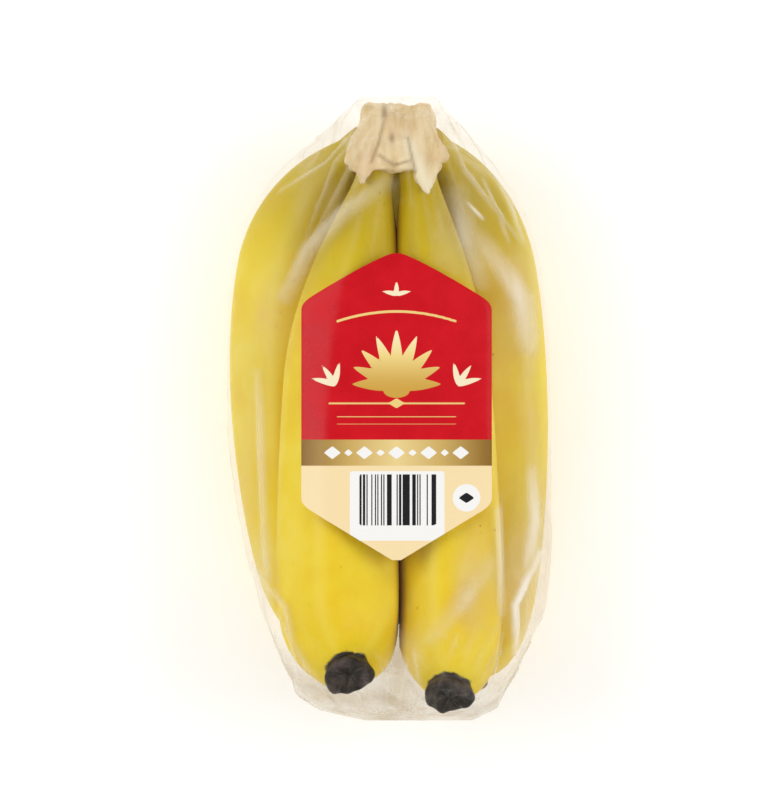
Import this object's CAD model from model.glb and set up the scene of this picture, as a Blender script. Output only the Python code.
# %% [markdown]
# # A hand of bananas in a film bag
#
# Five bananas grow from one crown. They lie on their backs in a clear film bag, with a printed label on
# the front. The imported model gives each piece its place, and this script makes each one's finished
# surface. The first cell loads that model and keeps its box, which the finished pieces must fill.

# %% The frame
import math
import bpy
import bmesh
import numpy as np
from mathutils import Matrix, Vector, noise
from mathutils.bvhtree import BVHTree
from mathutils.kdtree import KDTree


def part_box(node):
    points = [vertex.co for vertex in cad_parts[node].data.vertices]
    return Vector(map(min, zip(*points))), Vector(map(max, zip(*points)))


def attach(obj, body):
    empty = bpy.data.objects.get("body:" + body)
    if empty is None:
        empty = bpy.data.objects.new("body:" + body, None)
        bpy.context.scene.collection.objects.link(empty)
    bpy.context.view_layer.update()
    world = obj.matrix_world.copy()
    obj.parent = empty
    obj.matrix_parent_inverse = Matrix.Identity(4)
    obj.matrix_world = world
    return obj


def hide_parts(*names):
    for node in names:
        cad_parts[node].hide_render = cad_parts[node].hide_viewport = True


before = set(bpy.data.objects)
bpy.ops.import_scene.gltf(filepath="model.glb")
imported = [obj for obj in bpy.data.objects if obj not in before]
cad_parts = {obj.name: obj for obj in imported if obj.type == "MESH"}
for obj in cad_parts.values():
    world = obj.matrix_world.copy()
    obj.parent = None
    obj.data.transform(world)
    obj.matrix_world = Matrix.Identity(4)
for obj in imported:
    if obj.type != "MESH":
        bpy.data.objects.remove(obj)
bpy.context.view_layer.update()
MM = 0.001
print("nodes:", sorted(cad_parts))

# %% [markdown]
# ## Helpers for meshes
#
# Most pieces here are grids: rows of points that go round or across. A grid of quads is easy to bend,
# to shade smoothly and to colour by where a point lies in it. `grid_piece` turns rows of points into an
# object, and `paint` keeps a number at each point for the materials to read.

# %% Grids and attributes
def new_piece(name, mesh, material):
    piece = bpy.data.objects.new(name, mesh)
    bpy.context.scene.collection.objects.link(piece)
    mesh.materials.append(material)
    mesh.shade_smooth()
    return piece


def grid_faces(rows, columns, closed):
    """Quads between neighbouring rows; a closed grid joins its last column to its first."""
    row = np.arange(rows - 1)[:, None] * columns
    column = np.arange(columns if closed else columns - 1)[None, :]
    following = (column + 1) % columns
    quads = np.stack([row + column, row + following, row + columns + following, row + columns + column], -1)
    return quads.reshape(-1, 4).tolist()


def grid_piece(name, points, material, closed, first_pole=None, last_pole=None):
    """points is rows x columns x 3; a pole closes the first or last row with a fan."""
    rows, columns = points.shape[:2]
    places = points.reshape(-1, 3).tolist()
    faces = grid_faces(rows, columns, closed)
    for pole, start in ((first_pole, 0), (last_pole, (rows - 1) * columns)):
        if pole is not None:
            places.append(list(pole))
            hub = len(places) - 1
            faces += [(hub, start + (i + 1) % columns, start + i) for i in range(columns)]
    mesh = bpy.data.meshes.new(name)
    mesh.from_pydata(places, [], faces)
    mesh.update()
    face_outwards(mesh)
    return new_piece(name, mesh, material)


def face_outwards(mesh):
    shape = bmesh.new()
    shape.from_mesh(mesh)
    bmesh.ops.recalc_face_normals(shape, faces=shape.faces)
    shape.to_mesh(mesh)
    shape.free()


def paint(piece, name, values):
    """Keep one number for each point of a piece; extra points, such as poles, repeat the last."""
    flat = np.asarray(values, dtype=float).ravel()
    spare = len(piece.data.vertices) - len(flat)
    flat = np.concatenate([flat, np.full(spare, flat[-1])])
    piece.data.attributes.new(name, "FLOAT", "POINT").data.foreach_set("value", flat)


# %% [markdown]
# ## Helpers for marks and folds
#
# Creases, pale patches and folds are all placed in the same way: by how far each point of a piece lies
# from a short path or from a middle. A bell curve turns that distance into a soft mark.

# %% Distances
def bell(value, centre, width):
    return np.exp(-((value - centre) / width) ** 2)


def near_path(x, y, path):
    """Distance from points to a path, how far along it they are, and on which side they lie."""
    best = np.full(x.shape, 1e6)
    side = np.zeros(x.shape)
    share = np.zeros(x.shape)
    pieces = list(zip(path, path[1:]))
    for number, ((x0, y0), (x1, y1)) in enumerate(pieces):
        dx, dy = x1 - x0, y1 - y0
        length = math.hypot(dx, dy)
        t = np.clip(((x - x0) * dx + (y - y0) * dy) / length ** 2, 0, 1)
        apart = np.hypot(x - x0 - t * dx, y - y0 - t * dy)
        closer = apart < best
        best = np.where(closer, apart, best)
        side = np.where(closer, ((x - x0) * dy - (y - y0) * dx) / length, side)
        share = np.where(closer, (number + t) / len(pieces), share)
    return best, share, side


# %% [markdown]
# ## Helpers for materials
#
# Every finish is built from the same few nodes: noise in the object's own space, a ramp that turns a
# number into colours, and a bump that turns a number into relief. A small class keeps the links short
# to write, so that each material reads as a list of what it is made of.

# %% Nodes
class Finish:
    """A material with one Principled shader and short ways to add what feeds it."""

    def __init__(self, name, **sockets):
        self.material = bpy.data.materials.new(name)
        self.material.use_nodes = True
        self.tree = self.material.node_tree
        self.shader = self.tree.nodes["Principled BSDF"]
        for socket, value in sockets.items():
            self.shader.inputs[socket.replace("_", " ")].default_value = value

    def node(self, kind, settings=None, **inputs):
        node = self.tree.nodes.new(kind)
        for key, value in (settings or {}).items():
            setattr(node, key, value)
        for key, value in inputs.items():
            self.feed(node.inputs[key.replace("_", " ")], value)
        return node

    def feed(self, socket, value):
        if isinstance(value, bpy.types.NodeSocket):
            self.tree.links.new(value, socket)
        else:
            socket.default_value = value

    def places(self, scale=(1, 1, 1)):
        """The object's own coordinates, stretched to suit a pattern."""
        coordinates = self.node("ShaderNodeTexCoord").outputs["Object"]
        return self.node("ShaderNodeMapping", Vector=coordinates, Scale=scale).outputs["Vector"]

    def painted(self, name):
        return self.node("ShaderNodeAttribute", {"attribute_name": name}).outputs["Fac"]

    def noise(self, vector, scale, detail=4.0, roughness=0.55):
        return self.node("ShaderNodeTexNoise", Vector=vector, Scale=scale, Detail=detail,
                         Roughness=roughness).outputs["Fac"]

    def math(self, operation, first, second=0.0, third=0.0, clamp=False):
        node = self.tree.nodes.new("ShaderNodeMath")
        node.operation = operation
        node.use_clamp = clamp
        for socket, value in zip(node.inputs, (first, second, third)):
            self.feed(socket, value)
        return node.outputs["Value"]

    def span(self, value, low, high, to_low=0.0, to_high=1.0):
        """Rescale a number from one span to another, and keep it there, with soft ends."""
        node = self.tree.nodes.new("ShaderNodeMapRange")
        node.interpolation_type = "SMOOTHSTEP"
        for socket, part in zip(node.inputs, (value, low, high, to_low, to_high)):
            self.feed(socket, part)
        return node.outputs["Result"]

    def ramp(self, value, stops):
        node = self.tree.nodes.new("ShaderNodeValToRGB")
        elements = node.color_ramp.elements
        while len(elements) < len(stops):
            elements.new(0.5)
        for element, (place, colour) in zip(elements, stops):
            element.position = place
            element.color = (*colour, 1.0)
        self.feed(node.inputs["Fac"], value)
        return node.outputs["Color"]

    def mix(self, share, first, second, blend="MIX"):
        node = self.tree.nodes.new("ShaderNodeMix")
        node.data_type = "RGBA"
        node.blend_type = blend
        for socket, value in zip((node.inputs[0], node.inputs[6], node.inputs[7]), (share, first, second)):
            self.feed(socket, value if not isinstance(value, tuple) else (*value[:3], 1.0))
        return node.outputs[2]

    def bump(self, height, strength, distance):
        normal = self.node("ShaderNodeBump", Strength=strength, Distance=distance, Height=height)
        self.feed(self.shader.inputs["Normal"], normal.outputs["Normal"])

    def set(self, **sockets):
        for socket, value in sockets.items():
            self.feed(self.shader.inputs[socket.replace("_", " ")], value)
        return self.material


# %% [markdown]
# ## Banana peel
#
# Ripe peel is a warm yellow that runs to green at the neck and to brown along its ridges and in the
# creases. It could be one colour with noise over it, but then every part of the fruit looks alike. Here
# the colour follows numbers that are painted on the mesh: how far along the fruit a point lies, how
# near to a ridge, and how dark a crease it lies in. Fine noise in the object's space adds freckles and
# the waxy mottling.

# %% Peel material
YELLOW = (0.84, 0.63, 0.022)
DEEP_YELLOW = (0.80, 0.53, 0.004)
PALE_YELLOW = (0.88, 0.72, 0.09)
NECK_GREEN = (0.50, 0.36, 0.002)
BRUISE_BROWN = (0.26, 0.11, 0.012)
CREASE_BROWN = (0.26, 0.10, 0.002)
BLOSSOM_BLACK = (0.008, 0.005, 0.004)
BLOSSOM_GREY = (0.085, 0.060, 0.055)


def peel_material():
    peel = Finish("banana_peel", Roughness=0.46, IOR=1.42, Specular_IOR_Level=0.30)
    fine = peel.places()
    along = peel.painted("along")
    ridge = peel.painted("ridge")
    crease = peel.painted("crease")
    blossom = peel.painted("blossom")

    mottle = peel.noise(fine, 38.0, 5.0, 0.6)
    colour = peel.ramp(mottle, [(0.30, DEEP_YELLOW), (0.52, YELLOW), (0.75, PALE_YELLOW)])
    colour = peel.mix(peel.math("MULTIPLY", ridge, 0.45), colour, PALE_YELLOW)
    slow = peel.noise(peel.places((1.0, 0.35, 1.0)), 30.0, 2.0)
    colour = peel.mix(peel.span(slow, 0.50, 0.68, 0.0, 0.55), colour, DEEP_YELLOW)

    drift = peel.math("MULTIPLY_ADD", peel.noise(fine, 24.0), 0.10, along)
    colour = peel.mix(peel.span(drift, 0.42, 0.15, 0.0, 0.88), colour, NECK_GREEN)
    ripe_end = peel.math("MULTIPLY", peel.span(drift, 0.55, 0.92), 0.25)
    colour = peel.mix(ripe_end, colour, DEEP_YELLOW)
    streaks = peel.noise(peel.places((9.0, 0.8, 9.0)), 34.0, 3.0, 0.7)
    colour = peel.mix(peel.span(streaks, 0.60, 0.78, 0.0, 0.22), colour, NECK_GREEN)
    freckles = peel.node("ShaderNodeTexVoronoi", Vector=fine, Scale=330.0).outputs["Distance"]
    sparse = peel.span(peel.noise(fine, 60.0, 2.0), 0.56, 0.72)
    freckle = peel.math("MULTIPLY", peel.span(freckles, 0.20, 0.08), sparse)
    colour = peel.mix(peel.math("MULTIPLY", freckle, 0.65), colour, BRUISE_BROWN)
    colour = peel.mix(peel.math("MULTIPLY", crease, 0.85), colour, CREASE_BROWN)

    grain = peel.noise(fine, 240.0, 4.0, 0.65)
    black = peel.ramp(peel.noise(fine, 130.0, 5.0, 0.7), [(0.45, BLOSSOM_BLACK), (0.72, BLOSSOM_GREY)])
    scar = peel.span(peel.math("MULTIPLY_ADD", grain, 0.20, blossom), 0.56, 0.64)
    colour = peel.mix(scar, colour, black)

    roughness = peel.math("MULTIPLY_ADD", mottle, 0.22, 0.34)
    roughness = peel.math("MULTIPLY_ADD", scar, -0.12, roughness)
    pores = peel.noise(fine, 900.0, 3.0, 0.7)
    relief = peel.math("MULTIPLY_ADD", grain, 0.5, pores)
    relief = peel.math("MULTIPLY_ADD", streaks, 0.5, relief)
    torn = peel.math("MULTIPLY", scar, peel.noise(fine, 320.0, 5.0, 0.7))
    relief = peel.math("MULTIPLY_ADD", torn, 4.0, relief)
    peel.bump(relief, 0.22, 0.0005)
    return peel.set(Base_Color=colour, Roughness=roughness)


PEEL = peel_material()
print("peel nodes:", len(PEEL.node_tree.nodes))

# %% [markdown]
# ## The shape of one finger
#
# A banana is a tube whose radius follows a rule: a thin neck, a quick swell to the full body, and a
# blunt end with the dried black blossom scar. A finger could be sculpted, but a rule keeps all five of
# one family, while each has its own middle line and girth. The middle line is a cubic curve with four
# points, the same that the solid model uses, so each finger fills its own place in the frame.

# %% Finger dimensions, in millimetres
NECK_RADIUS = 6.6
NECK_LENGTH = 8.0
SWELL_LENGTH = 74.0
BACK_SWELL_LENGTH = 54.0
BLUNT_LENGTH = 46.0
BLUNT_POWER = 4.0
BLOSSOM_RADIUS = 7.6
BLOSSOM_LENGTH = 6.5
PRESS_GAP = 0.05

# name: girth, then neck, neck handle, tip handle and tip of the middle line
FINGERS = {
    "finger_front_left": (43.0, ((-6, 87, 71), (-16.5, 44, 53), (-24, -62, 42), (-17, -91, 81.5))),
    "finger_front_right": (37.5, ((6.5, 87, 71), (14, 46, 56), (21.6, -62, 44), (18.5, -97.5, 77))),
    "finger_back_left": (41.0, ((-10, 93, 57), (-50, 66, 14), (-40, -35, 12), (-18, -80, 37))),
    "finger_back_middle": (35.0, ((-1, 90, 50), (-1, 58, 10), (-2, -38, 10), (0, -68, 32))),
    "finger_back_right": (39.0, ((10, 93, 57), (43, 68, 13), (37.5, -50, 11), (25, -91, 36))),
}


def peel_radius(distance, length, girth, swell_length):
    """Radius of the peel at a distance along the middle line."""
    body = girth / 2
    grown = np.clip((distance - NECK_LENGTH) / swell_length, 0, 1)
    swell = np.sin(math.pi / 2 * grown * grown * 1.05 / (grown + 0.05))
    blunt = np.clip((distance - (length - BLUNT_LENGTH)) / BLUNT_LENGTH, 0, 1)
    rounding = np.sqrt(1 - (1 - (BLOSSOM_RADIUS / body) ** 2) * blunt ** BLUNT_POWER)
    return (NECK_RADIUS + (body - NECK_RADIUS) * swell) * rounding


class MiddleLine:
    """A cubic curve walked at even steps, with a frame at any distance along it."""

    def __init__(self, girth, corners, swell_length):
        share = np.linspace(0, 1, 801)[:, None]
        a, b, c, d = (np.array(corner, dtype=float) for corner in corners)
        places = ((1 - share) ** 3 * a + 3 * (1 - share) ** 2 * share * b
                  + 3 * (1 - share) * share ** 2 * c + share ** 3 * d)
        steps = np.linalg.norm(np.diff(places, axis=0), axis=1)
        self.walked = np.concatenate([[0], np.cumsum(steps)])
        self.places = places
        self.length = self.walked[-1]
        self.girth = girth
        self.swell_length = swell_length
        even = np.linspace(0, self.length, 90)
        self.samples = self.at(even)
        self.sample_radii = peel_radius(even, self.length, girth, swell_length)

    def at(self, distance):
        inside = np.clip(distance, 0, self.length)
        return np.stack([np.interp(inside, self.walked, self.places[:, k]) for k in range(3)], -1)

    def frame(self, distance):
        """Middle point, and the directions across, up and along."""
        inside = np.minimum(distance, self.length)
        ahead = self.at(inside + 0.5) - self.at(inside - 0.5)
        along = ahead / np.linalg.norm(ahead, axis=1, keepdims=True)
        across = np.cross((0.0, 0.0, 1.0), along)
        across /= np.linalg.norm(across, axis=1, keepdims=True)
        beyond = np.maximum(distance - self.length, 0)[:, None]
        return self.at(distance) + along * beyond, across, np.cross(along, across), along

    def outside(self, points):
        """How far points lie outside this finger's skin, negative inside it."""
        apart = np.linalg.norm(points[..., None, :] - self.samples, axis=-1) - self.sample_radii
        return apart.min(axis=-1)


LINES = {}
for name, (girth, corners) in FINGERS.items():
    LINES[name] = MiddleLine(girth, corners, BACK_SWELL_LENGTH if "back" in name else SWELL_LENGTH)
for name, line in LINES.items():
    print(name, "is", round(line.length), "mm long and", line.girth, "mm thick")

# %% [markdown]
# ## Making the fingers
#
# Each finger is a grid that goes round its middle line. Five soft ridges run along it, as in the real
# fruit, and a few slow waves keep it from looking turned on a lathe. Fingers of one hand grow against
# each other, so where two would overlap both give way and get a flat side. The end is the dried blossom:
# a ragged black rim round a sunken face.

# %% Finger meshes
RINGS = 150
SIDES = 84
RIDGE_HEIGHT = 0.05
DENT_HEIGHT = 0.008
WRINKLE_HEIGHT = 0.018
WRINKLED_NECK = 55.0
TORN_HEIGHT = 0.8
PRESS_ROUNDS = 3
SEAM_Y = -109.3
CROWN_BACK_Z = 40.0
CREASE_REACH = 4.0

# share of the blossom's radius, and how far past the end of the fruit in millimetres
BLOSSOM_RINGS = ((0.95, 0.7), (0.97, 1.7), (1.04, 2.9), (1.06, 4.1), (1.0, 5.2),
                 (0.88, 5.9), (0.68, 5.5), (0.46, 4.9), (0.22, 4.7))
around = np.arange(SIDES) * 2 * math.pi / SIDES


def waves(chance, angle, distance, height):
    """A few slow waves round and along a finger."""
    total = np.zeros(np.broadcast(angle, distance).shape)
    for turns in (1, 2, 3):
        start, pace = chance.uniform(0, 2 * math.pi), chance.uniform(0.02, 0.055)
        total += np.sin(turns * angle + pace * distance + start) * height / turns
    return total


def ridge_wave(angle):
    """Five ridges: a round wave with a sharper edge added."""
    return 0.6 * np.cos(5 * angle) + 0.4 * (1 - 2 * np.abs(np.sin(2.5 * angle)))


def finger_skin(line, seed):
    """Skin points of a finger before it is pressed, its middle points and the distance of each ring."""
    chance = np.random.default_rng(seed)
    body = np.linspace(0.8, line.length, RINGS)
    radius = peel_radius(body, line.length, line.girth, line.swell_length)[:, None]
    fullness = radius / (line.girth / 2)
    neck = np.clip(1 - body / WRINKLED_NECK, 0, 1)[:, None]
    shape = 1 + RIDGE_HEIGHT * ridge_wave(around) * fullness
    shape = shape + waves(chance, around, body[:, None], DENT_HEIGHT)
    shape = shape + WRINKLE_HEIGHT * neck * np.sin(9 * around + 0.05 * body[:, None])
    radius = radius * shape

    ragged = 1 + 0.09 * np.cos(2 * around) + 0.055 * np.sin(3 * around + seed) + 0.02 * np.sin(8 * around)
    rim = np.array([share for share, _ in BLOSSOM_RINGS])[:, None] * BLOSSOM_RADIUS * ragged
    past = np.array([beyond for _, beyond in BLOSSOM_RINGS])
    radius = np.concatenate([radius, rim])
    distance = np.concatenate([body, line.length + past])

    middle, across, upwards, along = line.frame(distance)
    sideways = (radius * np.cos(around))[..., None] * across[:, None, :]
    lifted = (radius * np.sin(around))[..., None] * upwards[:, None, :]
    skin = middle[:, None, :] - sideways + lifted
    growing = np.clip((distance - line.length) / BLOSSOM_LENGTH, 0, 1)[:, None]
    torn = np.sin(2 * around + seed) + 0.6 * np.sin(5 * around - seed) + 0.4 * np.sin(9 * around)
    skin = skin + (TORN_HEIGHT * growing * torn)[..., None] * along[:, None, :]
    return skin, middle, distance


def far_from(line, points):
    """MiddleLine.outside for a whole grid, a row at a time to keep memory small."""
    return np.stack([line.outside(row) for row in points])


skins = {}
middles = {}
distances = {}
for seed, (name, line) in enumerate(LINES.items()):
    skins[name], middles[name], distances[name] = finger_skin(line, seed + 3)

creases = {}
for turn in range(PRESS_ROUNDS):
    pressed = {}
    for name, skin in skins.items():
        own = far_from(LINES[name], skin)
        inwards = middles[name][:, None, :] - skin
        reach = np.linalg.norm(inwards, axis=-1, keepdims=True)
        overlap = np.full(own.shape, -100.0)
        for other in LINES:
            if other != name:
                overlap = np.maximum(overlap, PRESS_GAP - (far_from(LINES[other], skin) - own))
        give = np.clip(overlap / 2, 0, None)[..., None]
        pressed[name] = skin + inwards / np.maximum(reach, 0.01) * np.minimum(give, reach / 4)
        creases[name] = np.clip(1 + overlap / CREASE_REACH, 0, 1) ** 1.5
    skins = pressed

# The middle lines are given about the hand's own middle, and the frame's origin is under the middle of
# the bag. Three known faces give the step between them: the label's middle, the seam and the crown's back.
LABEL_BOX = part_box("label")
SHIFT = np.array([
    (LABEL_BOX[0].x + LABEL_BOX[1].x) / 2 / MM,
    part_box("film_bag")[0].y / MM - SEAM_Y,
    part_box("crown")[0].z / MM - CROWN_BACK_Z,
])
print("the hand moves by", SHIFT.round(2), "mm to its place in the frame")


def placed(points):
    """Hand millimetres to the frame's metres."""
    return (np.asarray(points) + SHIFT) * MM


for name, skin in skins.items():
    line = LINES[name]
    distance = distances[name][:, None] * np.ones(SIDES)
    finger = grid_piece(name.replace("finger", "banana"), placed(skin), PEEL, closed=True,
                        first_pole=placed(middles[name][0]),
                        last_pole=placed(middles[name][-1]))
    paint(finger, "along", distance / line.length)
    paint(finger, "ridge", np.clip(np.cos(5 * around), 0, 1) ** 4 * np.ones((len(distance), 1)))
    paint(finger, "crease", creases[name])
    paint(finger, "blossom", (distance - line.length) / 8 + 0.5)
    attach(finger, "root")
    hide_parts(name)
print("fingers:", len(skins), "with", RINGS * SIDES * 2, "triangles each")

# %% [markdown]
# ## The crown
#
# The crown is the cut piece of stalk that all the fingers grow from. Its broad shape is already in the
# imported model, so that mesh is copied, its doubled corners are merged and a voxel remesh gives it an
# even skin. The cut stalk is fibrous, so the skin is then moved in and out along its normals by a noise
# that is drawn out along the fibres.

# %% Crown
CROWN_VOXEL = 0.7
FIBRE_DEPTH = 0.55
LUMP_DEPTH = 1.3


def crown_material():
    crown = Finish("crown_tissue", Roughness=0.62)
    fibres = crown.noise(crown.places((1.0, 0.30, 1.0)), 210.0, 5.0, 0.62)
    colour = crown.ramp(fibres, [(0.30, (0.60, 0.43, 0.19)), (0.48, (0.76, 0.58, 0.31)),
                                 (0.68, (0.84, 0.70, 0.43))])
    blush = crown.span(crown.noise(crown.places(), 70.0, 2.0), 0.55, 0.70, 0.0, 0.35)
    colour = crown.mix(blush, colour, (0.72, 0.44, 0.24))
    colour = crown.mix(crown.painted("pale"), colour, (0.86, 0.77, 0.54))
    stain = crown.span(crown.noise(crown.places((1.0, 0.4, 1.0)), 120.0, 4.0, 0.7), 0.64, 0.76, 0.0, 0.5)
    colour = crown.mix(stain, colour, (0.25, 0.12, 0.03))
    colour = crown.mix(crown.painted("shade"), colour, (0.16, 0.055, 0.004))
    crown.bump(crown.math("MULTIPLY_ADD", crown.noise(crown.places(), 900.0), 0.4, fibres), 0.5, 0.0008)
    return crown.set(Base_Color=colour)


def crown_piece():
    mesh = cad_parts["crown"].data.copy()
    shape = bmesh.new()
    shape.from_mesh(mesh)
    bmesh.ops.remove_doubles(shape, verts=shape.verts, dist=0.02 * MM)
    shape.to_mesh(mesh)
    shape.free()
    rough = bpy.data.objects.new("crown_rough", mesh)
    bpy.context.scene.collection.objects.link(rough)
    remesh = rough.modifiers.new("even skin", "REMESH")
    remesh.mode = "VOXEL"
    remesh.voxel_size = CROWN_VOXEL * MM
    smooth = rough.modifiers.new("soften", "SMOOTH")
    smooth.iterations = 6
    smooth.factor = 0.5
    evaluated = rough.evaluated_get(bpy.context.evaluated_depsgraph_get())
    even = bpy.data.meshes.new_from_object(evaluated)
    bpy.data.objects.remove(rough)
    even.materials.clear()
    return new_piece("banana_crown", even, crown_material())


# %% [markdown]
# ## Fibres, flaps and stains
#
# The crown's points are moved along their normals by drawn-out noise. Where it is pale or stained is
# worked out from where each point lies: the right flap is the palest, and dark creases part the two flaps
# from the round middle. Two small notches left by the knife are dark too.

# %% Crown surface
FLAP_TOP = (3.8, 93.8)
FLAP_LEAN = 0.41
CROWN_CREASES = (
    ((-4.5, 100), (-6, 93), (-8.8, 85.5)),
    ((4.0, 94), (5.2, 88), (6.6, 82)),
    ((-6, 88), (-1, 84.5), (4.5, 86)),
)

crown = crown_piece()
spots = np.array([vertex.co for vertex in crown.data.vertices]) / MM - SHIFT
normals = np.array([vertex.normal for vertex in crown.data.vertices])
fibre = np.array([noise.noise(Vector((x * 0.55, y * 0.07, z * 0.55))) for x, y, z in spots])
lump = np.array([noise.fractal(Vector(spot * 0.11), 0.8, 2.0, 3) for spot in spots])
spots = spots + normals * (FIBRE_DEPTH * fibre + LUMP_DEPTH * lump)[:, None]
crown.data.vertices.foreach_set("co", placed(spots).ravel())
crown.data.update()
x, y, z = spots.T
flap_middle = FLAP_TOP[0] + (FLAP_TOP[1] - y) * FLAP_LEAN
in_front = np.clip((z - 68) / 6, 0, 1)
paint(crown, "pale", 0.9 * bell(x, flap_middle, 3.0) * np.clip((98 - y) / 6, 0, 1) * in_front)
shade = 0.8 * bell(x, -4.2, 1.1) * bell(y, 103, 3.0) + 0.7 * bell(x, -1.7, 1.0) * bell(y, 94, 2.0)
for path in CROWN_CREASES:
    shade = np.maximum(shade, 0.55 * np.exp(-(near_path(x, y, path)[0] / 0.55) ** 2) * in_front)
paint(crown, "shade", np.clip(shade, 0, 1))
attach(crown, "root")
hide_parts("crown")
print("crown:", len(crown.data.polygons), "faces")

# %% [markdown]
# ## The film's rule
#
# The bag is thin film drawn tight over the fruit. Film can't follow a hollow: it spans from one high
# place to the next. So each cross-section of the bag is the smallest convex outline round all that lies
# near it, and along the bag the film bridges short gaps the same way. That is written with supports: for
# each direction, how far out the furthest point lies.

# %% Film rule, in millimetres
MOUTH_Y = 109.0
STATIONS = 250
DIRECTIONS = 180
SLAB = 2.4
FILM_SPAN = 26.0
FILM_CLEARANCE = 1.0
LABEL_TOP, LABEL_SHOULDER, LABEL_FOOT, LABEL_BOTTOM = 53.8, 36.5, -34.0, -53.2
LABEL_CORNER = 0.12
LABEL_WIDTH = 66.5
LABEL_POINT = 3.0
LABEL_DROP = 3.0

# y, then how far the film reaches to the left and to the right there, and the height of that edge
FILM_EDGES = (
    (109, -3, 12, 58), (106, -11, 16, 58), (101, -18.5, 20, 57),
    (92, -28.7, 25.6, 54), (81.4, -38.5, 33.3, 48),
    (65.6, -48.3, 42.4, 44), (44.6, -54.6, 49, 40), (23.6, -58.1, 49.7, 38), (-8, -59.3, 51.8, 36),
    (-29, -57, 53.6, 36), (-50, -53.2, 54.6, 38), (-71, -47.3, 52.2, 42), (-92, -38.2, 41.7, 50),
    (-101, -34, 36.6, 58), (-105, -29, 34.5, 61), (-107.6, -20, 30, 64), (SEAM_Y, -6, 24, 65),
)

edge_y, edge_left, edge_right, edge_height = np.array(FILM_EDGES[::-1], dtype=float).T
stations = np.linspace(SEAM_Y, MOUTH_Y, STATIONS)
headings = np.arange(DIRECTIONS) * 2 * math.pi / DIRECTIONS
outwards = np.stack([np.cos(headings), np.sin(headings)])


def label_half_width(y):
    top = np.clip((LABEL_TOP - y) / (LABEL_TOP - LABEL_SHOULDER), 0, None) ** 0.86
    bottom = np.clip((y - LABEL_BOTTOM) / (LABEL_FOOT - LABEL_BOTTOM), 0, None)
    share = np.minimum(top, bottom)
    blend = np.clip(0.5 + 0.5 * (1 - share) / LABEL_CORNER, 0, 1)
    rounded = share * blend + (1 - blend) - LABEL_CORNER * blend * (1 - blend)
    return (LABEL_POINT + (LABEL_WIDTH - LABEL_POINT) * rounded) / 2


def film_supports(filling):
    """For each station, how far the filling and the film's own edges reach in each direction."""
    supports = np.full((STATIONS, DIRECTIONS), -1000.0)
    for row, y in enumerate(stations):
        left, right, height = (np.interp(y, edge_y, side) for side in (edge_left, edge_right, edge_height))
        left, right = left + FILM_CLEARANCE, right - FILM_CLEARANCE
        section = [(left, height + 3), (left, height - 3), (right, height + 3), (right, height - 3)]
        near = filling[np.abs(filling[:, 1] - y) < SLAB][:, [0, 2]]
        if abs(y) < LABEL_TOP and len(near):
            half = label_half_width(y)
            section += [(-half, near[:, 1].max() - LABEL_DROP), (half, near[:, 1].max() - LABEL_DROP)]
        supports[row] = (np.vstack([section, near]) @ outwards).max(axis=0)
    return supports


def bridged(supports):
    """Stretch the film over hollows that are shorter than its span."""
    step = stations[1] - stations[0]
    most = int(FILM_SPAN / step)
    result = supports.copy()
    for before in range(1, most, 2):
        for after in range(1, most - before, 2):
            first, last = supports[:-(before + after)], supports[before + after:]
            between = (first * after + last * before) / (before + after)
            middle = slice(before, before + len(between))
            result[middle] = np.maximum(result[middle], between)
    return result


def softened(values, axis, reach, closed):
    """A moving average with a bell-shaped weight."""
    offsets = np.arange(-int(3 * reach), int(3 * reach) + 1)
    weights = np.exp(-(offsets / reach) ** 2)
    total = np.zeros(values.shape)
    for offset, weight in zip(offsets, weights / weights.sum()):
        places = np.arange(values.shape[axis]) + offset
        places = places % values.shape[axis] if closed else np.clip(places, 0, values.shape[axis] - 1)
        total += weight * np.take(values, places, axis)
    return total


def radii(supports, angles):
    """Turn supports into the radius of the outline, about the middle of each station."""
    quarter = DIRECTIONS // 4
    middle_x = (supports[:, 0] - supports[:, 2 * quarter]) / 2
    middle_z = (supports[:, quarter] - supports[:, 3 * quarter]) / 2
    centred = supports - np.stack([middle_x, middle_z], 1) @ outwards
    facing = np.cos(angles[:, None] - headings[None, :])
    radius = np.stack([
        np.where(facing > 0.05, row[None, :] / np.maximum(facing, 0.05), 1000).min(axis=1)
        for row in centred
    ])
    return radius, middle_x, middle_z


filling = np.vstack([skin.reshape(-1, 3) for skin in skins.values()] + [spots])
supports = softened(bridged(film_supports(filling)), 0, 2.2, closed=False) + FILM_CLEARANCE
widths = supports[:, 0] + supports[:, DIRECTIONS // 2]
print("film stations:", STATIONS, "the widest is", round(widths.max(), 1), "mm wide")

# %% [markdown]
# ## Film finish
#
# Clear film is seen by what it does to light: a milky haze where it stands off the fruit or lies in
# several layers, and bright lines along its folds. One material does both. The mesh carries a number for
# haze and one for folds, and they decide how much of the film is seen and how much is see-through.
# Gathered film looks denser at a shallow angle, so a facing weight adds to it.

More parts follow.
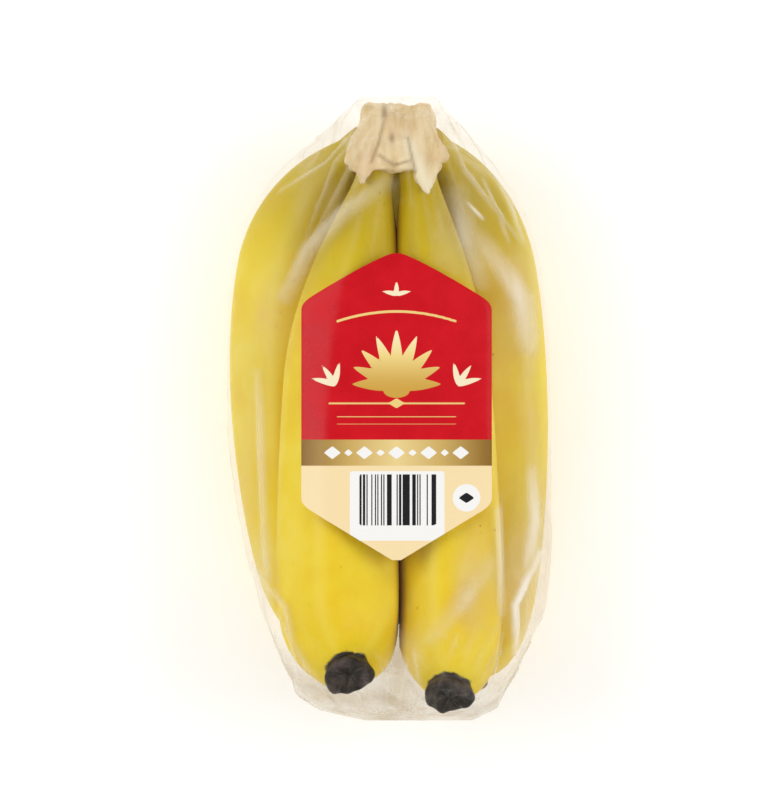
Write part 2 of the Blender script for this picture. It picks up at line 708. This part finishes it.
# %% Film material
def film_material():
    film = Finish("bag_film", Roughness=0.16, IOR=1.47, Specular_IOR_Level=0.40)
    haze = film.painted("haze")
    fold = film.painted("fold")
    cloud = film.noise(film.places(), 46.0, 4.0, 0.6)
    streak = film.noise(film.places((1.0, 0.25, 1.0)), 75.0, 2.5, 0.5)
    colour = film.mix(fold, (0.70, 0.57, 0.36), (0.97, 0.93, 0.83))
    colour = film.mix(film.span(cloud, 0.4, 0.7, 0.0, 0.5), colour, (0.88, 0.80, 0.68))
    facing = film.node("ShaderNodeLayerWeight", Blend=0.35).outputs["Facing"]
    veil = film.math("MULTIPLY", haze, film.span(streak, 0.30, 0.72, 0.55, 1.15))
    veil = film.math("MULTIPLY_ADD", film.math("POWER", facing, 3.5), 0.18, veil)
    seen = film.math("MULTIPLY_ADD", fold, 0.66, veil)
    film.bump(film.math("MULTIPLY_ADD", streak, 0.6, cloud), 0.20, 0.0016)
    return film.set(Base_Color=colour, Alpha=film.math("MINIMUM", seen, 0.9))


# %% [markdown]
# ## Folds in the film
#
# Loose film gathers into folds that run from where it is held: they fan out from the twisted mouth, climb
# from the corners of the seam and follow the sides of the fruit. Each fold is a short path with a width,
# a height and a brightness. The film is raised near a path and sunk beside it, so the fold catches light
# on one side, and a seeded crumple adds the small creases between.

# %% Fold paths: points of the path, then width and height in millimetres, and brightness
FOLDS = [
    (((-3.5, 78), (-19, 67), (-30, 55), (-38, 39)), 3.2, 1.0, 0.60),
    (((-48, 12), (-47, -5), (-46, -35), (-44, -68)), 1.8, 0.8, 0.44),
    (((24, 71.5), (30, 66)), 0.8, 0.9, 0.95),
    (((26, 62), (36, 50), (44, 38), (47, 22)), 3.8, 1.0, 0.55),
    (((22, 75), (25, 60), (30, 44)), 3.6, 0.6, 0.50),
    (((33, 83), (39, 73), (44, 59)), 0.9, 0.7, 0.70),
    (((30, 80), (35, 69), (39, 58)), 0.8, 0.6, 0.55),
    (((35.5, -30), (36, -50), (36.5, -72)), 1.3, 0.7, 0.62),
    (((47, -22), (48, -40), (46, -55)), 2.0, 0.9, 0.60),
    (((50, -51), (41, -69), (41.5, -86)), 1.3, 1.0, 0.85),
    (((12, -80), (20, -70), (33, -54)), 3.4, 0.6, 0.34),
    (((-50, -55), (-38, -70), (-33, -99), (-22, -107)), 1.2, 0.8, 0.50),
    (((-41, -72), (-30, -92), (-14, -106)), 1.0, 0.8, 0.40),
]
MOUTH_FOLDS = 13
SEAM_FOLDS = 12


def fan_of_folds():
    """Folds that spread from the gathered mouth and from the seam."""
    chance = np.random.default_rng(11)
    fan = []
    for share in np.linspace(-1, 1, MOUTH_FOLDS):
        start = (4 + 7 * share, MOUTH_Y)
        bend = (2 + 24 * share + chance.uniform(-3, 3), 96 + chance.uniform(-4, 3) - 10 * share * share)
        end = (2 + 44 * share + chance.uniform(-4, 4), 76 - chance.uniform(0, 26))
        fan.append(((start, bend, end), chance.uniform(0.6, 1.3), 0.8, chance.uniform(0.12, 0.5)))
    for share in np.linspace(0, 1, SEAM_FOLDS):
        start = (-18 + 49 * share, SEAM_Y)
        bend = (-20 + 56 * share + chance.uniform(-3, 3), -98 + chance.uniform(-3, 3))
        end = (-24 + 70 * share + chance.uniform(-4, 4), -88 + chance.uniform(0, 22) * share)
        fan.append(((start, bend, end), chance.uniform(0.6, 1.1), 0.8, chance.uniform(0.15, 0.6)))
    return fan


# %% [markdown]
# ## Laying the film
#
# The film is one open tube of thin sheet: a flat seam at the fingertips and a small gathered mouth at
# the crown. Each point starts on the taut outline. It is then lifted by the folds on its side of the bag
# and by the crumple, and kept just above the floor, where the bag lies flat. Under the label the film is
# smooth, because the label's glue holds it so.

# %% Film mesh
COLUMNS = 300
CRUMPLE_HEIGHT = 0.9
FOLD_EDGE = 3
FLOOR_CLEARANCE = 0.15


def film_points():
    angles = np.arange(COLUMNS) * 2 * math.pi / COLUMNS
    radius, middle_x, middle_z = radii(supports, angles)
    radius = softened(radius, 1, 1.6, closed=True)
    x = middle_x[:, None] + radius * np.cos(angles)
    z = middle_z[:, None] + radius * np.sin(angles)
    y = stations[:, None] * np.ones(COLUMNS)
    return np.stack([x, y, z], -1), np.cos(angles), np.sin(angles)


def ridged(point, scale):
    """Sharp-crested noise, one at its crests."""
    return 1 - min(1.0, 3.2 * abs(noise.noise(Vector(point) * scale)))


taut, turn_x, turn_z = film_points()
x, y, z = np.moveaxis(taut, -1, 0)
upper = np.clip(turn_z * 4 + 0.8, 0, 1) * np.ones(x.shape)
under_label = np.clip(1.6 - (np.abs(x) - label_half_width(y)) / 3, 0, 1) * upper
under_label *= np.abs(y) < LABEL_TOP + 2
free = 1 - np.clip(under_label, 0, 1)

lift = np.zeros(x.shape)
fold_light = np.zeros(x.shape)
for path, width, height, bright in FOLDS + fan_of_folds():
    apart, share, side = near_path(x, y, path)
    fade = np.sin(math.pi * np.clip(0.08 + 0.84 * share, 0, 1)) ** 0.5
    crest = np.exp(-(apart / width) ** FOLD_EDGE) * fade
    lift += height * crest * upper
    fold_light = np.maximum(fold_light, bright * crest * upper * (0.7 + 0.3 * np.tanh(side / width)))

small = np.array([ridged(point, 0.075) for point in taut.reshape(-1, 3)]).reshape(x.shape)
tiny = np.array([ridged(point + 40.0, 0.20) for point in taut.reshape(-1, 3)]).reshape(x.shape)
ends = np.clip((np.abs(y) - 62) / 34, 0, 1)
crumple = (small ** 3 + 0.22 * tiny ** 3) * (0.35 + 0.65 * ends)
lift += CRUMPLE_HEIGHT * crumple
fold_light = np.clip(1.3 * fold_light + 0.26 * crumple ** 2 * (0.15 + ends), 0, 1) * free
lift *= free

film_spots = taut.copy()
film_spots[..., 0] += lift * turn_x
film_spots[..., 2] += lift * turn_z
film_spots[..., 2] = np.maximum(film_spots[..., 2], FLOOR_CLEARANCE - SHIFT[2])

# %% [markdown]
# ## What the film carries
#
# Two numbers go with each point of the film. Haze grows with the distance between the film and the fruit
# or crown below it, since clear film is hardly seen where it lies on them, and it is denser at the seam.
# Folds carry their own brightness. Over the two front blossom ends the film lies close and stays clear.

# %% Film piece
LEAST_HAZE = 0.012
LOOSE_HAZE = 0.36
HAZE_START = 3.0
HAZE_REACH = 13.0
LEFT_TIP, RIGHT_TIP = (-17, -91), (18.5, -97.5)
# middle of a patch, its half width and half length in millimetres, and how dense it is
HAZE_PATCHES = (
    (28, -60, 8, 19, 0.24),
    (44, -64, 7, 24, 0.30),
    (18, 56, 6, 18, 0.18),
    (46, 40, 6, 26, 0.16),
    (-49, -62, 6, 18, 0.20),
)
film = grid_piece("film_bag_sheet", placed(film_spots), film_material(), closed=True,
                  first_pole=placed(film_spots[0].mean(axis=0)))
standing_off = np.min([far_from(line, film_spots) for line in LINES.values()], axis=0)
crown_tree = KDTree(len(spots))
for number, spot in enumerate(spots):
    crown_tree.insert(spot, number)
crown_tree.balance()
from_crown = np.array([crown_tree.find(spot)[2] for spot in film_spots.reshape(-1, 3)])
standing_off = np.minimum(standing_off, from_crown.reshape(standing_off.shape))
groove = upper * np.exp(-((x - 1) / 9) ** 4) * np.clip((y + 88) / 14, 0, 1) * np.clip((86 - y) / 8, 0, 1)
tips = np.minimum(np.hypot(x - LEFT_TIP[0], y - LEFT_TIP[1]),
                  np.hypot(x - RIGHT_TIP[0], y - RIGHT_TIP[1]))
clear_tip = upper * np.clip((15 - tips) / 6, 0, 1)
loose = np.clip((standing_off - HAZE_START) / HAZE_REACH, 0, 1)
haze = LEAST_HAZE + LOOSE_HAZE * loose * (1 - 0.9 * groove) + 0.04 * ends
haze += 0.14 * np.clip((-84 - y) / 12, 0, 1) + 0.15 * np.clip((x - 42) / 8, 0, 1) * bell(y, -48, 28)
upper_half = np.clip((y - 20) / 30, 0, 1) * np.clip((88 - y) / 8, 0, 1) * upper
haze *= 1 - 0.45 * upper_half
for patch_x, patch_y, half_width, half_length, strength in HAZE_PATCHES:
    spread = ((x - patch_x) / half_width) ** 2 + ((y - patch_y) / half_length) ** 2
    haze += strength * np.exp(-spread ** 2) * upper * free
haze *= 1 - 0.9 * clear_tip
fold_light *= 1 - 0.85 * clear_tip
paint(film, "haze", haze)
paint(film, "fold", fold_light)
rings = np.concatenate([film_spots, film_spots[:, :1]], axis=1)
girths = np.linalg.norm(np.diff(rings, axis=1), axis=2).sum(axis=1)
print("girth of the bag at its widest:", round(girths.max()), "mm")
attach(film, "root")
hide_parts("film_bag")

# %% [markdown]
# ## The printed label
#
# The label is a sheet of glossy paper that follows the film. Its print is flat ink: a red field, a gold
# band, a cream foot with a white panel, and a fan of leaves as a plain ornament. A print could be an
# image, but here each shape is a distance that is kept at every point of the sheet, negative inside the
# shape. The material cuts the ink off at zero, so the edges stay sharp at any size.

# %% Label shapes, in millimetres
LABEL_COLUMNS = 110
LABEL_ROWS = 170
LABEL_LIFT = 0.7
BAND_TOP, BAND_BOTTOM = -11.2, -20.3
FAN_BASE = (0.0, 7.0)
FAN_LEAVES = 9
FAN_SPREAD = 156.0
LEAF_WIDTH = 2.1
LOZENGE_STEP = 5.6


def box_distance(x, y, centre, half, corner):
    across = np.abs(x - centre[0]) - half[0] + corner
    upright = np.abs(y - centre[1]) - half[1] + corner
    outside = np.hypot(np.maximum(across, 0), np.maximum(upright, 0))
    return outside + np.minimum(np.maximum(across, upright), 0) - corner


def leaf_distance(x, y, base, heading, length, width):
    """A leaf that is pointed at both ends and droops a little to its side."""
    dx, dy = math.sin(heading), math.cos(heading)
    along = (x - base[0]) * dx + (y - base[1]) * dy
    share = np.clip(along / length, 0, 1)
    droop = 2.2 * math.sin(heading) * share ** 2
    aside = (x - base[0]) * dy - (y - base[1]) * dx - droop
    beyond = along - share * length
    return np.hypot(aside, beyond) - width * np.sin(math.pi * share ** 0.8) ** 0.8


def fan_distance(x, y):
    shape = np.full(x.shape, 100.0)
    for share in np.linspace(-0.5, 0.5, FAN_LEAVES):
        heading = math.radians(FAN_SPREAD * share)
        length = 20.5 - 5.0 * abs(2 * share)
        shape = np.minimum(shape, leaf_distance(x, y, FAN_BASE, heading, length, LEAF_WIDTH))
    base = np.hypot((x - FAN_BASE[0]) / 1.9, y - FAN_BASE[1] + 1.2) - 2.4
    return np.minimum(shape, base)


def spray_distance(x, y):
    """Small leaves: a spray on each side of the fan and a sprig near the top point."""
    shape = np.full(x.shape, 100.0)
    for heading in (-0.15, 0.45, 1.05):
        shape = np.minimum(shape, leaf_distance(np.abs(x), y, (21.5, 7.5), heading, 8.5, 1.0))
    for heading in (0.0, 0.95):
        shape = np.minimum(shape, leaf_distance(np.abs(x), y, (0.0, 39.0), heading, 5.0, 0.8))
    return shape


def rule_distance(x, y):
    """An arch over the fan, a straight line with a lozenge below it, and two hairlines."""
    arch = np.maximum(np.abs(y - 33.5 + 0.008 * x * x) - 0.45, np.abs(x) - 21)
    straight = np.maximum(np.abs(y - 1.5) - 0.35, np.abs(x) - 24)
    lozenge = (np.abs(x) / 1.6 + np.abs(y - 1.5)) - 1.8
    hairlines = np.maximum(np.abs(np.abs(y + 4.6) - 1.3) - 0.22, np.abs(x) - 21)
    return np.minimum.reduce([arch, straight, lozenge, hairlines])


def lozenge_distance(x, y):
    """A row of lozenges, large and small in turn, along the gold band."""
    shape = np.full(x.shape, 100.0)
    level = np.abs(y - (BAND_TOP + BAND_BOTTOM) / 2)
    for place in range(-4, 5):
        size = 2.3 if place % 2 == 0 else 1.2
        shape = np.minimum(shape, np.abs(x - LOZENGE_STEP * place) / 1.3 + level - size)
    return shape


# %% [markdown]
# ## Label inks
#
# Inks are laid one over another in the order a printer would: the grounds first, then the gold, then the
# white and the black. The bars are cells of equal width, each black or white by seeded chance, so they
# only look like a bar code. A little uneven gloss keeps the paper from looking like flat paint.

# %% Label material
RED_INK = (0.64, 0.004, 0.012)
CREAM_INK = (0.91, 0.72, 0.41)
GOLD_DARK = (0.25, 0.12, 0.014)
GOLD_LIGHT = (0.82, 0.64, 0.27)
WHITE_INK = (0.90, 0.89, 0.86)
BLACK_INK = (0.012, 0.012, 0.014)
BAR_MODULE = 0.42


def label_material():
    label = Finish("label_print", Roughness=0.28, IOR=1.5, Specular_IOR_Level=0.22)
    aside, upright = label.painted("aside"), label.painted("upright")

    def ink(share, under, over):
        return label.mix(share, under, over)

    def inside(name):
        return label.span(label.painted(name), 0.08, -0.08)

    shine = label.math("ABSOLUTE", label.math("MULTIPLY", aside, 1 / 33))
    gold = label.ramp(shine, [(0.0, GOLD_LIGHT), (0.45, (0.62, 0.42, 0.13)), (1.0, GOLD_DARK)])
    wear = label.noise(label.places(), 120.0, 4.0, 0.6)
    red = label.ramp(wear, [(0.3, (0.56, 0.003, 0.010)), (0.7, RED_INK)])
    colour = ink(label.span(upright, BAND_TOP - 0.08, BAND_TOP + 0.08), gold, red)
    colour = ink(label.span(upright, BAND_BOTTOM + 0.08, BAND_BOTTOM - 0.08), colour, CREAM_INK)
    leaf_gold = label.ramp(label.span(upright, 5.0, 28.0),
                           [(0.0, (0.62, 0.36, 0.06)), (0.6, (0.86, 0.66, 0.24)),
                            (1.0, (0.93, 0.82, 0.50))])
    colour = ink(inside("fan"), colour, leaf_gold)
    colour = ink(inside("rules"), colour, (0.84, 0.62, 0.22))
    colour = ink(inside("sprays"), colour, (0.92, 0.80, 0.55))
    colour = ink(inside("lozenges"), colour, WHITE_INK)
    colour = ink(inside("panel"), colour, WHITE_INK)
    colour = ink(inside("disc"), colour, WHITE_INK)
    colour = ink(inside("disc_mark"), colour, BLACK_INK)
    cell = label.math("FLOOR", label.math("MULTIPLY", aside, 1 / BAR_MODULE))
    chance = label.node("ShaderNodeTexWhiteNoise", {"noise_dimensions": "1D"}, W=cell).outputs["Value"]
    bars = label.math("MULTIPLY", label.math("GREATER_THAN", chance, 0.47), inside("bars"))
    colour = ink(bars, colour, BLACK_INK)
    label.bump(label.noise(label.places(), 300.0, 3.0), 0.10, 0.0004)
    return label.set(Base_Color=colour, Roughness=label.math("MULTIPLY_ADD", wear, 0.2, 0.18))


# %% [markdown]
# ## Laying the label
#
# The label's outline is a wide hexagon whose top and bottom run to a point. Its grid is as wide as that
# outline in each row, so the edge stays clean. A ray from above finds the film under each point, and the
# paper is stiffer than the film, so the heights are softened before it is laid just above.

# %% Label mesh
rows = np.linspace(LABEL_BOTTOM, LABEL_TOP, LABEL_ROWS)
label_x = label_half_width(rows)[:, None] * np.linspace(-1, 1, LABEL_COLUMNS)
label_y = rows[:, None] * np.ones(LABEL_COLUMNS)
film_tree = BVHTree.FromPolygons([Vector(spot) for spot in film_spots.reshape(-1, 3)],
                                 grid_faces(STATIONS, COLUMNS, closed=True))


def film_height(x, y):
    hit = film_tree.ray_cast(Vector((x, y, 200.0)), Vector((0, 0, -1)))[0]
    return hit.z


heights = np.array([film_height(x, y) for x, y in zip(label_x.ravel(), label_y.ravel())])
heights = heights.reshape(label_x.shape)
stiff = softened(softened(heights, 0, 3.0, closed=False), 1, 3.0, closed=False)
label_z = np.maximum(stiff, heights) + LABEL_LIFT
label = grid_piece("label_sheet", placed(np.stack([label_x, label_y, label_z], -1)), label_material(),
                   closed=False)
if label.data.polygons[0].normal.z < 0:
    label.data.flip_normals()
paint(label, "aside", label_x)
paint(label, "upright", label_y)
paint(label, "fan", fan_distance(label_x, label_y))
paint(label, "rules", rule_distance(label_x, label_y))
paint(label, "panel", box_distance(label_x, label_y, (0.2, -34.3), (16.5, 12.1), 0.8))
paint(label, "bars", box_distance(label_x, label_y, (0.45, -32.2), (13.4, 8.9), 0.0))
paint(label, "sprays", spray_distance(label_x, label_y))
paint(label, "lozenges", lozenge_distance(label_x, label_y))
paint(label, "disc_mark", np.abs(label_x - 24.4) / 1.5 + np.abs(label_y + 31.5) - 1.9)
paint(label, "disc", np.hypot(label_x - 24.4, label_y + 31.5) - 4.8)
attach(label, "root")
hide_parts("label")
print("label:", len(label.data.polygons), "faces, lying", label_z.min().round(1), "to",
      label_z.max().round(1), "mm up")

# %% [markdown]
# ## Floor, light and camera
#
# The floor is a plain pale sheet and the light is soft: a wide panel overhead with a smaller one to the
# side, which gives the folds their bright lines. The camera looks straight down from a good distance
# through a long lens, so the near and far parts keep their sizes.

# %% Stage
def area_light(name, place, size, power, aim):
    data = bpy.data.lights.new(name, "AREA")
    data.shape = "RECTANGLE"
    data.size, data.size_y = size
    data.energy = power
    light = bpy.data.objects.new(name, data)
    light.location = place
    light.rotation_euler = (Vector(aim) - Vector(place)).to_track_quat("-Z", "Y").to_euler()
    bpy.context.scene.collection.objects.link(light)
    return light


FLOOR_GLOW = 0.2
FLOOR_REACH = 3.0


def floor_piece():
    floor_finish = Finish("pale_floor", Roughness=0.9)
    paper = floor_finish.noise(floor_finish.places(), 400.0, 3.0)
    shade = floor_finish.ramp(paper, [(0.3, (0.93, 0.93, 0.93)), (0.7, (0.96, 0.96, 0.96))])
    glow = {"Emission_Color": (1.0, 1.0, 1.0, 1.0), "Emission_Strength": FLOOR_GLOW}
    mesh = bpy.data.meshes.new("floor")
    corners = [(-FLOOR_REACH, -FLOOR_REACH, 0), (FLOOR_REACH, -FLOOR_REACH, 0),
               (FLOOR_REACH, FLOOR_REACH, 0), (-FLOOR_REACH, FLOOR_REACH, 0)]
    mesh.from_pydata(corners, [], [(0, 1, 2, 3)])
    return new_piece("floor", mesh, floor_finish.set(Base_Color=shade, **glow))


bpy.context.scene.view_settings.view_transform = "Standard"
centre = (0.0, 0.0, 0.05)
area_light("left panel", (-1.25, 0.35, 1.15), (1.0, 1.6), 13.5, centre)
area_light("right panel", (1.25, 0.20, 1.05), (0.9, 1.6), 11.5, centre)
area_light("head panel", (0.1, 1.35, 1.0), (1.6, 0.8), 6.0, centre)
area_light("foot panel", (0.0, -1.30, 0.9), (1.4, 0.7), 5.5, centre)
floor_piece()

world = bpy.data.worlds.new("soft room")
world.use_nodes = True
world.node_tree.nodes["Background"].inputs["Color"].default_value = (1.0, 1.0, 1.0, 1.0)
world.node_tree.nodes["Background"].inputs["Strength"].default_value = 0.34
bpy.context.scene.world = world

CAMERA_HEIGHT = 6.0
VIEW_WIDTH = 0.267
VIEW_LEVEL = 0.06
AIM = (-0.00257, 0.00278)
camera_data = bpy.data.cameras.new("camera")
camera_data.sensor_width = 36
camera_data.lens = 36 * (CAMERA_HEIGHT - VIEW_LEVEL) / (VIEW_WIDTH * 800 / 763)
camera = bpy.data.objects.new("camera", camera_data)
camera.location = (*AIM, CAMERA_HEIGHT)
bpy.context.scene.collection.objects.link(camera)
bpy.context.scene.camera = camera
print("lens", round(camera_data.lens), "mm at", CAMERA_HEIGHT, "m")

# %% [markdown]
# ## Last checks
#
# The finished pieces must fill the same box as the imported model. Both boxes are written down, so that
# they can be compared, and the frame is closed.

# %% Finish
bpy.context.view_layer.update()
